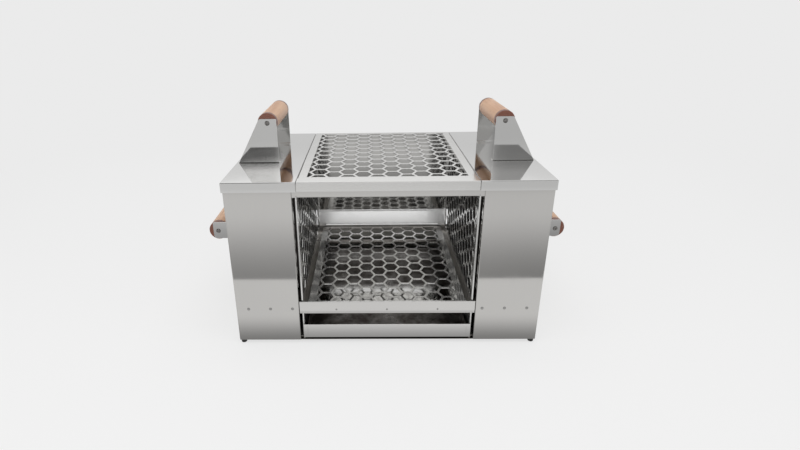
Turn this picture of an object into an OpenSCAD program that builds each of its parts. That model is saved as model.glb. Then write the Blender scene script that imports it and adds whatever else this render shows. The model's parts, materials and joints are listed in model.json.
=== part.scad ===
// Table-top electric fish roaster: two heater housings with lift-off lids
// stand left and right of an open roasting bay. Hexagon-mesh walls face
// the bay, a hexagon grille covers it, and a slide-out mesh rack and a
// drip-tray drawer lie under the fish. X is right, Y is back, Z is up, and
// the origin is on the table under the middle of the whole roaster.

/* [Body] */
// Width over both lids
body_w = 544; // [544:2:620]
// Depth of the lids and of the top grille
body_d = 360; // [360:5:380]
// Height of the lid tops above the table
body_z = 310; // [310:2:340]
// Thickness of the folded sheet
sheet = 1.2; // [1.0:0.1:1.2]
// Height of the lip around each lid
lip_h = 17; // [14:1:20]
// Height of the feet
foot_h = 7.2; // [6:0.2:8]
// Diameter of the feet
foot_d = 10; // [9:1:11]

/* [Bay] */
// Clear width between the two mesh walls
bay_w = 298; // [290:1:298]
// Open slit between a mesh wall and its housing front
slit_w = 4.5; // [4:0.5:5]
// Height of the beam's lower edge under the grille
beam_z = 283; // [278:1:285]
// Height of the rear wall's lower hem
rear_wall_z = 127; // [125:1:130]
// Height of the lower edge of the rear bar
rear_bar_z = 94; // [93:1:95]
// Height of the rear bar
rear_bar_h = 29; // [26:1:29]

/* [Mesh] */
// Distance between columns of hexagons in the top grille
hex_col = 24.7; // [24.5:0.1:24.9]
// Distance between rows of hexagons in the top grille
hex_row = 32; // [31.8:0.1:32.2]
// Width of the web left between hexagons
hex_web = 4.2; // [3.8:0.1:4.6]
// Distance between columns of hexagons in the rack
rack_col = 24.3; // [24.1:0.1:24.5]
// Distance between rows of hexagons in the rack
rack_row = 33.5; // [33.3:0.1:33.7]
// Distance between columns of hexagons in the bay walls
wall_col = 24; // [23.8:0.1:24.2]
// Distance between rows of hexagons in the bay walls
wall_row = 27.4; // [27.2:0.1:27.6]
// Plain border beside the grille's hexagons
grille_side = 14.8; // [14.6:0.1:15]
// Plain border in front of the grille's hexagons
grille_front = 28; // [27:0.5:28.5]
// Plain border behind the grille's hexagons
grille_back = 12; // [11.5:0.5:13]

/* [Rack and tray] */
// Height of the rack front's lower edge
bar_z = 63; // [62:1:66]
// Height of the rack front
bar_h = 24; // [22:1:24]
// Height of the bent lower edge of both bars
fold_h = 5.5; // [5:0.5:6.5]
// Width of the rack's mesh sheet
rack_w = 280; // [274:2:282]
// Underside of the drip tray
tray_z = 12.5; // [12:0.5:14]
// Height of the drip tray's front
tray_h = 26.6; // [24:0.2:28]
// Gap between the rack and the rear bar
rack_room = 4.6; // [3:0.2:6]
// Gap between the drip tray and the conduit behind it
tray_room = 4.8; // [3:0.2:8]

/* [Handles] */
// Diameter of the wooden grips
grip_d = 35; // [30:1:35]
// Height of the grips' axis above the lids
grip_rise = 72; // [66:1:74]
// Height of the lid handle plates
plate_h = 79.5; // [79:0.5:82]
// Width of a handle plate at its foot
plate_foot = 74; // [68:1:76]
// Width of a handle plate at its top
plate_top = 31; // [28:1:33]
// Front handle plates, behind the middle
plate_front_y = -62; // [-66:1:-55]
// Rear handle plates, behind the middle
plate_rear_y = 86; // [80:1:90]
// Reach of the side brackets beyond the body
bracket_reach = 51; // [49:1:54]
// Height of the side grips' axis
side_grip_z = 188; // [180:1:200]
// Distance between the side brackets
side_grip_w = 180; // [160:5:190]

/* [Heaters] */
// Diameter of the sheathed heater tubes
tube_d = 8.5; // [7:0.5:8.5]
// Distance between the two legs of one heater
tube_pitch = 30; // [28:1:32]
// Distance between neighbouring heaters
heater_step = 60; // [56:1:60]

/* [Hidden] */

$fn = 64;
t = sheet;
eps = 0.01;                     // cuts run this far past a face
gap = 0.3;                      // clearance round pins, tubes and screws
slide = 1;                      // clearance round the lids and drawers

// main planes
hx = body_w / 2;                // outer edge of the lids
hy = body_d / 2;                // front and rear edge of the lids
lid_under = body_z - t;         // the lids and the grille rest here
overhang = slide + t;           // lids reach this far past the body
bx = hx - overhang;             // outer face of the housings
by = hy - overhang;             // front and rear face of the housings
base_z = foot_h;                // underside of the body
floor_z = base_z + t;           // top of the base plate
wx = bay_w / 2;                 // bay face of the mesh walls
hem = 3.3;                      // thickness of the mesh walls' end hems
hem_l = 6.5;                    // depth of those hems
wall_edge = 10;                 // plain border at the walls' ends
wall_edge_top = 28;             // plain border above their hexagons
ix = wx + hem + slit_w;         // inner edge of the housing fronts
seam = wx + gap;                // inner edge of the lids
turn = 10;                      // depth of the small folded flanges
wy = by - slide - t - slide;    // front and rear end of the mesh walls
wall_flange = 14;               // their flanges at top and bottom
flange_y = by - turn - gap;     // end of those flanges
wall_low = 4;                   // their hexagons start above the rack
foot_side = 6.4;                // axis of the feet, inside the outer faces
foot_x = bx - foot_side;
foot_y = by - foot_side;
foot_stem = 5;
foot_barb = 1.2;
grille_x = seam - slide;        // half width of the top grille

// heater chamber
chamber_z = 78;                 // underside of the chamber floor
chamber_top = chamber_z + t;
rivet_z = chamber_z - 5.3;
rivet_in = 11.9;                // first rivet, from the inner edge of the front
rivet_out = 22.3;               // last rivet, from its outer edge
rivet_xs = [ix + rivet_in, (ix + rivet_in + bx - rivet_out) / 2, bx - rivet_out];
rivet_d = 3.2;
rivet_head = 5.5;
rivet_rise = 1.1;
heater_x = 182;                 // plane of the heater tubes
heater_low = 32;                // lowest heater leg, above the shelf
heater_z0 = chamber_top + heater_low;
heater_inset = 34.6;            // centre of the tubes' bends, behind the wall's end
heater_front = wy - heater_inset;
heater_end = 14.6;
heater_rear = wy - heater_end;  // rear end of the tubes
heater_count = 3;
pin_l = 12;
pin_d = 3;
clip_inset = 56.6;
clip_y = clip_inset - wy;       // front face of the front clip
plate_inset = 26.6;
plate_y = wy - plate_inset;     // front face of the heater plate
plate_x0 = wx + t + 6;
plate_x1 = 232;
plate_z1 = 284;
bush_d = 13.4;
bush_flange = 18;
bush_t = 2;
bush_l = 9;
reflector_x = 207;
reflector_inset = 12.6;
reflector_y = wy - reflector_inset;

// front beam, rear wall and bars
beam_flange = 16;
rear_y = wy + 0.4;              // front face of the rear wall
rear_hem = 6;
bar_inset = 7;
bar_y = rear_y - bar_inset;     // front face of the rear bar
lean = by - wy - t - gap;       // the bars' lower edges bend back to just before the walls
tab_w = 16;
tab_h = 5;

// top grille
grille_lip = lip_h - slide;
grille_skirt = 9;
skirt_inset = 24;
skirt_y = hy - skirt_inset;
grille_shift = 9.6;             // a column of hexagons, right of the middle
grille_row = 13;                // its first hexagon, behind the front border

// rack
rack_top = bar_z + bar_h;
rack_x = rack_w / 2;
rail_h = 9;                     // side rails of the rack
rack_y0 = -by + t;              // back of the rack front
rack_flange = 18;               // turned down behind the rack front
runner_ledge = 15;
runner_h = 11;
runner_inset = 9.6;
runner_y = wy - runner_inset;
rack_d = bar_y - rack_room - rack_y0;
bar_x = ix - slide;             // half width of the rack front
rack_rivet_x = 90;
rack_rivet_z = bar_z + fold_h + 2.7;
rack_rivet_d = 2;
rack_rivet_head = 3.4;
rack_rivet_rise = 0.6;
rack_side = 14;                 // plain border beside the rack's hexagons
rack_edge = 3;                  // plain border before and behind them
rack_shift = 12.3;              // a column of hexagons, right of the middle
rack_first = 32.1;              // one hexagon of it, behind the rack front

// tray
tray_t = 1;
tray_side = 5;
tray_x = wx - tray_side;
tray_front_over = 2;
tray_front_x = wx + tray_front_over;
tray_wall = 23.5;
tray_hem = 3;
rail_w = 16;
rail_in = 26;
rail_x = tray_x - rail_in;

// handles
plate_t = 1.5;
grip_off = 1.1;                 // the grips' axis, inside the middle of a lid
grip_x = (seam + hx) / 2 - grip_off;
grip_in = 16.5;
plate_x = grip_x - grip_in;     // inner edge of the lid handle plates
grip_z = body_z + grip_rise;
grip_chamfer = 1.5;
foot_w = 14;                    // folded feet of plates and brackets
screw_d = 4;
screw_l = 24;
screw_head = 9;
screw_head_h = 2.4;
side_x = bx + bracket_reach;    // outer end of the side brackets
grip_cover = 9;
side_grip_x = side_x - grip_cover;
bracket_low = 15;
bracket_high = 17;
bracket_z0 = side_grip_z - bracket_low;
bracket_z1 = side_grip_z + bracket_high;
bracket_cut = 4;
side_y = side_grip_w / 2;

// supply
conduit_d = 10;
conduit_wall = 1;
conduit_inset = 13;
conduit_y = rear_y - conduit_inset;
conduit_z = 50;
drawer_d = conduit_y - conduit_d / 2 - tray_room + by;
block_side = 85.8;
block_x = bx - block_side;      // terminal block, its left front corner
block_inset = 81.8;
block_y = by - block_inset;
block_w = 52;
block_l = 20;
block_h = 18;
block_step = 13.3;              // distance between its wells
block_well = 6;
block_deep = 9;
inlet_side = 47.8;
inlet_x = bx - inlet_side;
socket_z = 43;
inlet_w = 27;
inlet_h = 20;
inlet_deep = 22;
inlet_flange_w = 40;
inlet_flange_h = 26;
inlet_wall = 2;                 // between the socket and the inlet's sides
inlet_corner = 4;
inlet_back = 4;                 // thickness of the socket's floor
pin_at = [[-7, -1.5], [0, 2.5], [7, -1.5]];
pin_size = [2.6, 22, 5.6];
trim_t = 1.9;
switch_side = 88.8;
switch_x = bx - switch_side;
switch_w = 18;
switch_h = 24;
switch_rim = 2;
switch_deep = 16;
rocker_w = 12;
rocker_h = 18;
rocker_tilt = 8;
rocker_pin = 3;
rocker_in = 3;                  // its axis lies this far inside the rear face
rocker_room = 8;

// ---- helpers ----
// a block from one corner to the opposite one
module slab(a, b) { translate(a) cube(b - a); }

// the same piece on the other side
module flip(side) { if (side < 0) mirror([1, 0, 0]) children(); else children(); }

// one hexagonal hole with its points left and right
module hex_hole(col, row, web) {
    s = (col * 2 - web * sqrt(3)) / 3;
    h = (row - web) / 2;
    polygon([[-s, 0], [-s / 2, -h], [s / 2, -h], [s, 0], [s / 2, h], [-s / 2, h]]);
}

// a sheet with staggered hexagons, cut off along the plain border
// size: width and height; edge: left, right, low and high borders
// from: centre of one hexagon of the field
module hex_sheet(size, edge, from, col, row) {
    x1 = size[0] - edge[1];
    y1 = size[1] - edge[3];
    difference() {
        square(size);
        intersection() {
            translate([edge[0], edge[2]]) square([x1 - edge[0], y1 - edge[2]]);
            for (i = [floor((edge[0] - from[0]) / col):ceil((x1 - from[0]) / col)])
                for (j = [floor((edge[2] - from[1]) / row) - 1:ceil((y1 - from[1]) / row)])
                    translate([from[0] + i * col, from[1] + (j + abs(i) % 2 / 2) * row])
                        hex_hole(col, row, hex_web);
        }
    }
}

// a wooden grip along Y with a pilot bore for a screw at each end
module wood_grip(x, z, y0, y1) {
    r = grip_d / 2;
    l = y1 - y0;
    color("burlywood")
    translate([x, y0, z]) rotate([-90, 0, 0]) difference() {
        rotate_extrude() polygon([[0, 0], [r - grip_chamfer, 0],
            [r, grip_chamfer], [r, l - grip_chamfer], [r - grip_chamfer, l], [0, l]]);
        for (e = [-eps, l - screw_l])
            translate([0, 0, e]) cylinder(d = screw_d + 2 * gap, h = screw_l + eps);
    }
}

// a screw along Y, its head outside the plate and its shank in the grip
module grip_screw(x, y, z, dir) {
    translate([x, y, z]) rotate([dir > 0 ? -90 : 90, 0, 0]) union() {
        translate([0, 0, -plate_t - screw_head_h])
            cylinder(d1 = screw_head - 2, d2 = screw_head, h = screw_head_h);
        translate([0, 0, -plate_t - eps]) cylinder(d = screw_d, h = screw_l - 2);
    }
}

// ---- body ----
module base_plate() {
    x = bx - t;
    y = by - t;
    color("silver") difference() {
        union() {
            slab([-x, -y, base_z], [x, y, floor_z]);
            for (s = [-1, 1]) {
                flip(s) slab([x - t, -y, floor_z - eps], [x, y, floor_z + turn]);
                for (k = [-1, 1]) flip(s) scale_y(k)
                    slab([ix + 3 * t, -y, floor_z - eps], [x - eps, -y + t, floor_z + turn]);
            }
        }
        for (sx = [-1, 1], sy = [-1, 1])
            translate([sx * foot_x, sy * foot_y, base_z - eps])
                cylinder(d = foot_stem + 2 * gap, h = t + 2 * eps);
    }
}

module scale_y(k) { if (k < 0) mirror([0, 1, 0]) children(); else children(); }

module feet() {
    color("black") for (sx = [-1, 1], sy = [-1, 1])
        translate([sx * foot_x, sy * foot_y, 0]) rotate_extrude()
            polygon([[0, 0], [foot_d / 2 - 1, 0], [foot_d / 2, 1],
                [foot_d / 2, base_z], [foot_stem / 2, base_z],
                [foot_stem / 2, floor_z], [foot_stem / 2 + foot_barb, floor_z],
                [foot_stem / 2, floor_z + 2 * foot_barb], [0, floor_z + 2 * foot_barb]]);
}

// folded wrap: front, outer side and rear in one sheet
module shell(side) {
    color("silver") flip(side) difference() {
        union() {
            for (k = [-1, 1]) scale_y(k) {
                slab([ix, -by, base_z], [bx, -by + t, lid_under]);
                slab([ix, -by, floor_z], [ix + t, -by + turn, lid_under]);
            }
            slab([bx - t, -by, base_z], [bx, by, lid_under]);
        }
        for (k = [-1, 1], x = rivet_xs) translate([x, k * by, rivet_z])
            rotate([90, 0, 0])
            cylinder(d = rivet_d + 2 * gap, h = 4 * t, center = true);
        if (side > 0) {
            slab([inlet_x - inlet_w / 2, by - 2 * t, socket_z - inlet_h / 2],
                 [inlet_x + inlet_w / 2, by + t, socket_z + inlet_h / 2]);
            slab([switch_x - switch_w / 2, by - 2 * t, socket_z - switch_h / 2],
                 [switch_x + switch_w / 2, by + t, socket_z + switch_h / 2]);
        }
    }
}

// mesh wall of the bay, with hemmed ends and flanges turned outward
module mesh_wall(side) {
    z0 = floor_z;
    h = lid_under - z0;
    low = rack_top + wall_low - z0;
    color("gainsboro") flip(side) difference() {
        union() {
            translate([wx, -wy, z0]) rotate([90, 0, 90]) linear_extrude(t)
                hex_sheet([2 * wy, h], [wall_edge, wall_edge, low, wall_edge_top],
                    [wy, low + wall_row / 2], wall_col, wall_row);
            for (k = [-1, 1]) scale_y(k)
                slab([wx, -wy, z0], [wx + hem, -wy + hem_l, lid_under - t - gap]);
            slab([wx, -flange_y, z0], [wx + wall_flange, flange_y, z0 + t]);
            slab([wx, -flange_y, lid_under - t], [wx + wall_flange, flange_y, lid_under]);
        }
        translate([wx + t / 2, conduit_y, conduit_z]) rotate([0, 90, 0])
            cylinder(d = conduit_d + 2 * gap, h = 4 * t, center = true);
    }
}

// shelf under the heaters, riveted to the housing front and rear
module chamber_floor(side) {
    y = by - t;
    x = bx - t;
    color("silver") flip(side) difference() {
        union() {
            slab([ix + t, -y, chamber_z], [x, y, chamber_top]);
            slab([wx + t, -wy + hem_l + gap, chamber_z],
                 [ix + 2 * t, wy - hem_l - gap, chamber_top]);
            for (k = [-1, 1]) scale_y(k)
                slab([ix + 3 * t, -y, chamber_z - turn - t], [x, -y + t, chamber_top]);
            slab([x - t, -y, chamber_z - turn - t], [x, y, chamber_top]);
        }
        for (k = [-1, 1], xr = rivet_xs) translate([xr, k * by, rivet_z])
            rotate([90, 0, 0])
            cylinder(d = rivet_d + 2 * gap, h = 8 * t, center = true);
    }
}

// bright sheet that throws the heat back through the mesh wall
module reflector(side) {
    color("white") flip(side) union() {
        slab([reflector_x, -reflector_y, chamber_top],
             [reflector_x + t, plate_y, plate_z1]);
        slab([reflector_x, -reflector_y, chamber_top],
             [reflector_x + turn, plate_y, chamber_top + t]);
        slab([reflector_x, -reflector_y, plate_z1 - t],
             [reflector_x + turn, plate_y, plate_z1]);
    }
}

// one hairpin heater with two connection pins
module hairpin() {
    r = tube_pitch / 2;
    translate([0, -heater_front, r]) rotate([0, 90, 0]) rotate([0, 0, 180])
        rotate_extrude(angle = 180) translate([r, 0]) circle(d = tube_d, $fn = 32);
    for (z = [0, tube_pitch]) {
        translate([0, -heater_front - eps, z]) rotate([-90, 0, 0])
            cylinder(d = tube_d, h = heater_front + heater_rear + eps);
        translate([0, heater_rear - eps, z]) rotate([-90, 0, 0])
            cylinder(d = pin_d, h = pin_l);
    }
}

function leg_zs() = [for (i = [0:heater_count - 1], j = [0, 1])
    heater_z0 + i * heater_step + j * tube_pitch];

module heaters(side) {
    color("dimgray") flip(side) for (i = [0:heater_count - 1])
        translate([heater_x, 0, heater_z0 + i * heater_step]) hairpin();
}

// rear sheet that carries the bushings, and the heaters' front support
module heater_sheet(side, y, x1, d) {
    color("silver") flip(side) difference() {
        union() {
            slab([plate_x0, y, chamber_top], [x1, y + t, plate_z1]);
            slab([plate_x0, y, chamber_top], [x1, y + turn, chamber_top + t]);
        }
        for (z = leg_zs()) translate([heater_x, y - t, z]) rotate([-90, 0, 0])
            cylinder(d = d, h = 3 * t);
    }
}

module bushings(side) {
    color("ivory") flip(side) for (z = leg_zs())
        translate([heater_x, plate_y - bush_t, z]) rotate([-90, 0, 0]) difference() {
            union() {
                cylinder(d = bush_flange, h = bush_t);
                cylinder(d = bush_d, h = bush_l);
            }
            translate([0, 0, -eps]) cylinder(d = tube_d + 2 * gap, h = bush_l + 2 * eps);
        }
}

// ---- lids and handles ----
module lid(side) {
    lip_z = body_z - lip_h;
    color("silver") flip(side) union() {
        slab([seam, -hy, lid_under], [hx, hy, body_z]);
        for (k = [-1, 1]) scale_y(k)
            slab([seam, -hy, lip_z], [hx, -hy + t, body_z]);
        slab([hx - t, -hy, lip_z], [hx, hy, body_z]);
    }
}

// tapered upright plate with its foot folded under the grip
module handle_plate(side, y, dir) {
    color("silver") flip(side) difference() {
        union() {
            translate([0, dir > 0 ? y + plate_t : y, 0]) rotate([90, 0, 0])
                linear_extrude(plate_t)
                polygon([[plate_x, body_z], [plate_x + plate_foot, body_z],
                    [plate_x + plate_top, body_z + plate_h],
                    [plate_x, body_z + plate_h]]);
            scale_about(y, dir) slab([plate_x, y, body_z],
                [plate_x + plate_foot, y + foot_w, body_z + plate_t]);
        }
        translate([grip_x, y, grip_z]) rotate([90, 0, 0])
            cylinder(d = screw_d + 2 * gap, h = 6 * plate_t, center = true);
    }
}
module scale_about(y, dir) {
    if (dir > 0) children();
    else translate([0, 2 * y, 0]) mirror([0, 1, 0]) children();
}

module grip(side) {
    flip(side) wood_grip(grip_x, grip_z, plate_front_y + plate_t, plate_rear_y - plate_t);
}

module grip_screws(side) {
    color("dimgray") flip(side) {
        grip_screw(grip_x, plate_front_y + plate_t, grip_z, 1);
        grip_screw(grip_x, plate_rear_y - plate_t, grip_z, -1);
    }
}

// bracket of a side grip, its foot folded flat on the housing side
module side_bracket(side, y, dir) {
    color("silver") flip(side) difference() {
        union() {
            translate([0, dir > 0 ? y + plate_t : y, 0]) rotate([90, 0, 0])
                linear_extrude(plate_t)
                polygon([[bx, bracket_z0], [side_x - bracket_cut, bracket_z0],
                    [side_x, bracket_z0 + bracket_cut], [side_x, bracket_z1 - 1],
                    [side_x - 1, bracket_z1], [bx, bracket_z1]]);
            scale_about(y, dir) slab([bx, y, bracket_z0],
                [bx + plate_t, y + foot_w, bracket_z1]);
        }
        translate([side_grip_x, y, side_grip_z]) rotate([90, 0, 0])
            cylinder(d = screw_d + 2 * gap, h = 6 * plate_t, center = true);
    }
}

module side_grip(side) {
    flip(side) wood_grip(side_grip_x, side_grip_z, -side_y + plate_t, side_y - plate_t);
}

module side_grip_screws() {
    color("dimgray") for (s = [-1, 1]) flip(s) {
        grip_screw(side_grip_x, -side_y + plate_t, side_grip_z, 1);
        grip_screw(side_grip_x, side_y - plate_t, side_grip_z, -1);
    }
}

// rivets that hold the chamber floors to the housing fronts and rears
module panel_rivets() {
    r = rivet_d / 2;
    grip_t = 2 * t;
    color("gainsboro") for (s = [-1, 1], k = [-1, 1], x = rivet_xs) flip(s) scale_y(k)
        translate([x, -by, rivet_z]) rotate([-90, 0, 0]) rotate_extrude()
            polygon([[0, -rivet_rise], [rivet_head / 4, -rivet_rise],
                [rivet_head / 2, -0.4], [rivet_head / 2, 0], [r, 0], [r, grip_t],
                [r + 0.9, grip_t], [r, grip_t + 1.4], [0, grip_t + 1.4]]);
}

// ---- bay ----
module front_beam() {
    color("silver") union() {
        slab([-ix, -by, beam_z], [ix, -by + t, lid_under]);
        slab([-wx + gap, -by, lid_under - t], [wx - gap, -by + beam_flange, lid_under]);
        slab([-wx + gap, -by, beam_z], [wx - gap, -by + turn, beam_z + t]);
    }
}

module rear_wall() {
    color("white") union() {
        slab([-ix, rear_y, rear_wall_z], [ix, rear_y + t, lid_under]);
        slab([-wx + gap, rear_y - turn, lid_under - t], [wx - gap, rear_y + t, lid_under]);
        slab([-wx + gap, rear_y - t, rear_wall_z], [wx - gap, rear_y, rear_wall_z + rear_hem]);
    }
}

// section shared by the rack front and the rear bar, facing -Y
module bar_section(h, flange) {
    polygon([[0, fold_h], [0, h], [flange, h], [flange, h - t], [t, h - t],
        [t, fold_h], [t + lean, 0], [lean, 0]]);
}
module bar(x0, x1, y, z, h, flange) {
    translate([x0, y, z]) rotate([90, 0, 90]) linear_extrude(x1 - x0)
        bar_section(h, flange);
}

module rear_bar() {
    color("gainsboro") union() {
        bar(-wx, wx, bar_y, rear_bar_z, rear_bar_h, rear_y - t - bar_y);
        for (s = [-1, 1]) flip(s)
            slab([wx - tab_w, bar_y, rear_bar_z - tab_h],
                 [wx, bar_y + t, rear_bar_z + fold_h + t]);
    }
}

module rear_panel() {
    color("silver") union() {
        slab([-ix, rear_y, floor_z], [ix, rear_y + t, rack_top + slide]);
        slab([-wx + gap, rear_y - turn, floor_z], [wx - gap, rear_y + t, floor_z + t]);
    }
}

module top_grille() {
    w = 2 * grille_x;
    color("gainsboro") union() {
        translate([-grille_x, -hy, lid_under]) linear_extrude(t)
            hex_sheet([w, body_d], [grille_side, grille_side, grille_front, grille_back],
                [w / 2 + grille_shift, grille_front + grille_row], hex_col, hex_row);
        for (k = [-1, 1]) scale_y(k)
            slab([-grille_x, -hy, body_z - grille_lip], [grille_x, -hy + t, body_z]);
        for (s = [-1, 1]) flip(s)
            slab([grille_x - t, -skirt_y, lid_under - grille_skirt],
                 [grille_x, skirt_y, body_z]);
    }
}

module rack_bores() {
    for (x = [-1:1]) translate([x * rack_rivet_x, rack_y0, rack_rivet_z]) rotate([90, 0, 0])
        cylinder(d = rack_rivet_d + 2 * gap, h = 4 * t, center = true);
}

// mesh sheet with a front flange and two side rails turned down
module rack() {
    y1 = rack_y0 + rack_d;
    color("gainsboro") difference() {
        union() {
            translate([-rack_x, rack_y0, rack_top - t]) linear_extrude(t)
                hex_sheet([rack_w, rack_d], [rack_side, rack_side, rack_edge, rack_edge],
                    [rack_x + rack_shift, rack_first], rack_col, rack_row);
            slab([-rack_x, rack_y0, rack_top - rack_flange], [rack_x, rack_y0 + t, rack_top]);
            for (s = [-1, 1]) flip(s)
                slab([rack_x - t, rack_y0 + turn, rack_top - rail_h], [rack_x, y1, rack_top]);
        }
        rack_bores();
    }
}

module rack_front() {
    color("silver") difference() {
        bar(-bar_x, bar_x, -by, bar_z, bar_h, t);
        rack_bores();
    }
}

// rivets that hold the mesh sheet's flange behind the rack front
module rack_rivets() {
    r = rack_rivet_d / 2;
    grip_t = 2 * t;
    color("silver") for (x = [-1:1]) translate([x * rack_rivet_x, -by, rack_rivet_z])
        rotate([-90, 0, 0]) rotate_extrude()
            polygon([[0, -rack_rivet_rise], [r, -rack_rivet_rise], [rack_rivet_head / 2, 0],
                [r, 0], [r, grip_t], [rack_rivet_head / 2, grip_t],
                [r, grip_t + rack_rivet_rise], [0, grip_t + rack_rivet_rise]]);
}

// ledge on each mesh wall that the rack slides on
module rack_runner(side) {
    z = rack_top - rail_h;
    color("silver") flip(side) union() {
        slab([wx - runner_ledge, -runner_y, z - t], [wx, runner_y, z]);
        slab([wx - t, -runner_y, z - runner_h], [wx, runner_y, z]);
    }
}

module drip_tray() {
    y0 = -by;
    y1 = y0 + drawer_d;
    z1 = tray_z + tray_wall;
    color("gainsboro") union() {
        slab([-tray_x, y0, tray_z], [tray_x, y1, tray_z + tray_t]);
        for (s = [-1, 1]) flip(s)
            slab([tray_x - tray_t, y0, tray_z], [tray_x, y1, z1]);
        slab([-tray_x, y1 - tray_t, tray_z], [tray_x, y1, z1]);
        slab([-tray_front_x, y0, tray_z], [tray_front_x, y0 + tray_t, tray_z + tray_h]);
        slab([-tray_front_x, y0, tray_z + tray_h - tray_hem],
             [tray_front_x, y0 + 2 * tray_t, tray_z + tray_h]);
    }
}

// folded rail that the tray slides on
module tray_rail(side) {
    color("silver") flip(side) union() {
        slab([rail_x, -runner_y, tray_z - t], [rail_x + rail_w, runner_y, tray_z]);
        for (x = [rail_x, rail_x + rail_w - t])
            slab([x, -runner_y, floor_z], [x + t, runner_y, tray_z]);
    }
}

// ---- supply ----
// carries the supply leads behind the tray to the left housing
module cross_conduit() {
    l = ix + turn;
    color("silver") translate([-l, conduit_y, conduit_z]) rotate([0, 90, 0])
        difference() {
            cylinder(d = conduit_d, h = 2 * l);
            translate([0, 0, -eps])
                cylinder(d = conduit_d - 2 * conduit_wall, h = 2 * l + 2 * eps);
        }
}

module terminal_block() {
    color("ivory") difference() {
        slab([block_x, block_y, floor_z],
             [block_x + block_w, block_y + block_l, floor_z + block_h]);
        for (i = [-1.5:1.5])
            translate([block_x + block_w / 2 + i * block_step, block_y + block_l / 2,
                floor_z + block_h - block_deep])
                cylinder(d = block_well, h = block_deep + eps);
    }
}

module power_inlet() {
    deep = inlet_deep;
    sx = inlet_w / 2 - inlet_wall;
    sz = inlet_h / 2 - inlet_wall - 0.5;
    color("black") translate([inlet_x, by, socket_z]) difference() {
        union() {
            slab([-inlet_flange_w / 2, 0, -inlet_flange_h / 2],
                 [inlet_flange_w / 2, trim_t, inlet_flange_h / 2]);
            slab([-inlet_w / 2 + gap, -deep, -inlet_h / 2 + gap],
                 [inlet_w / 2 - gap, eps, inlet_h / 2 - gap]);
        }
        translate([0, -deep + inlet_back, 0]) rotate([-90, 0, 0])
            linear_extrude(deep + trim_t)
            polygon([[-sx, sz], [sx, sz], [sx, inlet_corner - sz],
                [sx - inlet_corner, -sz], [inlet_corner - sx, -sz], [-sx, inlet_corner - sz]]);
        for (p = pin_at) translate([p[0], -deep, p[1]])
            cube([pin_size[0], 4 * inlet_back, pin_size[2]], center = true);
    }
}

module inlet_pins() {
    color("silver") translate([inlet_x, by, socket_z]) for (p = pin_at)
        translate([p[0], -inlet_deep + inlet_back, p[1]]) cube(pin_size, center = true);
}

module switch_body() {
    w = switch_w / 2;
    h = switch_h / 2;
    color("black") translate([switch_x, by, socket_z]) difference() {
        union() {
            slab([-w - switch_rim, 0, -h - switch_rim], [w + switch_rim, trim_t, h + switch_rim]);
            slab([-w + gap, -switch_deep, -h + gap], [w - gap, eps, h - gap]);
        }
        slab([-rocker_w / 2 - gap, -rocker_room, -rocker_h / 2 - 2 * gap],
             [rocker_w / 2 + gap, trim_t + eps, rocker_h / 2 + 2 * gap]);
        translate([0, -rocker_in, 0]) rotate([0, 90, 0])
            cylinder(d = rocker_pin + gap, h = rocker_w + 5, center = true);
    }
}

// rocker shown with its upper half pressed in
module switch_rocker() {
    r = rocker_h / 2 - 0.6;
    color("crimson") translate([switch_x, by - rocker_in, socket_z]) rotate([rocker_tilt, 0, 0])
        union() {
            translate([-rocker_w / 2, 0, 0]) rotate([90, 0, 90]) linear_extrude(rocker_w)
                polygon([[-2, -2], [-2, 2], [2, r], [4, r], [3.2, 0], [4, -r], [2, -r]]);
            rotate([0, 90, 0]) cylinder(d = rocker_pin, h = rocker_w + 4, center = true);
        }
}

base_plate();
feet();
shell(-1);  // left_shell
shell(1);  // right_shell
mesh_wall(-1);  // left_mesh_wall
mesh_wall(1);  // right_mesh_wall
chamber_floor(-1);  // left_chamber_floor
chamber_floor(1);  // right_chamber_floor
reflector(-1);  // left_reflector
reflector(1);  // right_reflector
heaters(-1);  // left_heaters
heaters(1);  // right_heaters
heater_sheet(-1, plate_y, plate_x1, bush_d + 2 * gap);  // left_heater_plate
heater_sheet(1, plate_y, plate_x1, bush_d + 2 * gap);  // right_heater_plate
heater_sheet(-1, clip_y, reflector_x, tube_d + 2 * gap);  // left_heater_clip
heater_sheet(1, clip_y, reflector_x, tube_d + 2 * gap);  // right_heater_clip
bushings(-1);  // left_bushings
bushings(1);  // right_bushings
lid(-1);  // left_lid
lid(1);  // right_lid
handle_plate(-1, plate_front_y, 1);  // left_handle_front
handle_plate(-1, plate_rear_y, -1);  // left_handle_rear
handle_plate(1, plate_front_y, 1);  // right_handle_front
handle_plate(1, plate_rear_y, -1);  // right_handle_rear
grip(-1);  // left_grip
grip(1);  // right_grip
grip_screws(-1);  // left_grip_screws
grip_screws(1);  // right_grip_screws
side_bracket(-1, -side_y, 1);  // left_side_bracket_front
side_bracket(-1, side_y, -1);  // left_side_bracket_rear
side_bracket(1, -side_y, 1);  // right_side_bracket_front
side_bracket(1, side_y, -1);  // right_side_bracket_rear
side_grip(-1);  // left_side_grip
side_grip(1);  // right_side_grip
side_grip_screws();
panel_rivets();
front_beam();
rear_wall();
rear_bar();
rear_panel();
top_grille();
rack();
rack_front();
rack_rivets();
rack_runner(-1);  // left_rack_runner
rack_runner(1);  // right_rack_runner
drip_tray();
tray_rail(-1);  // left_tray_rail
tray_rail(1);  // right_tray_rail
cross_conduit();
terminal_block();
power_inlet();
inlet_pins();
switch_body();
switch_rocker();
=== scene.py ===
# %% [markdown]
# # A table-top fish roaster in folded and punched sheet
# Two heater housings stand beside an open bay. Almost every piece of this
# object is thin stainless sheet: folded into boxes and plates, or punched
# with staggered hexagons. The measured model already says where each piece
# is and how large it is. This lesson dresses it: sheet with real folds and
# edges, punched fields made by a node tree, turned wooden grips, and
# finishes that are written as small formulas.

# %% Load the measured model
import bpy
import bmesh
import json
import math
from mathutils import Matrix, Vector


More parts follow.
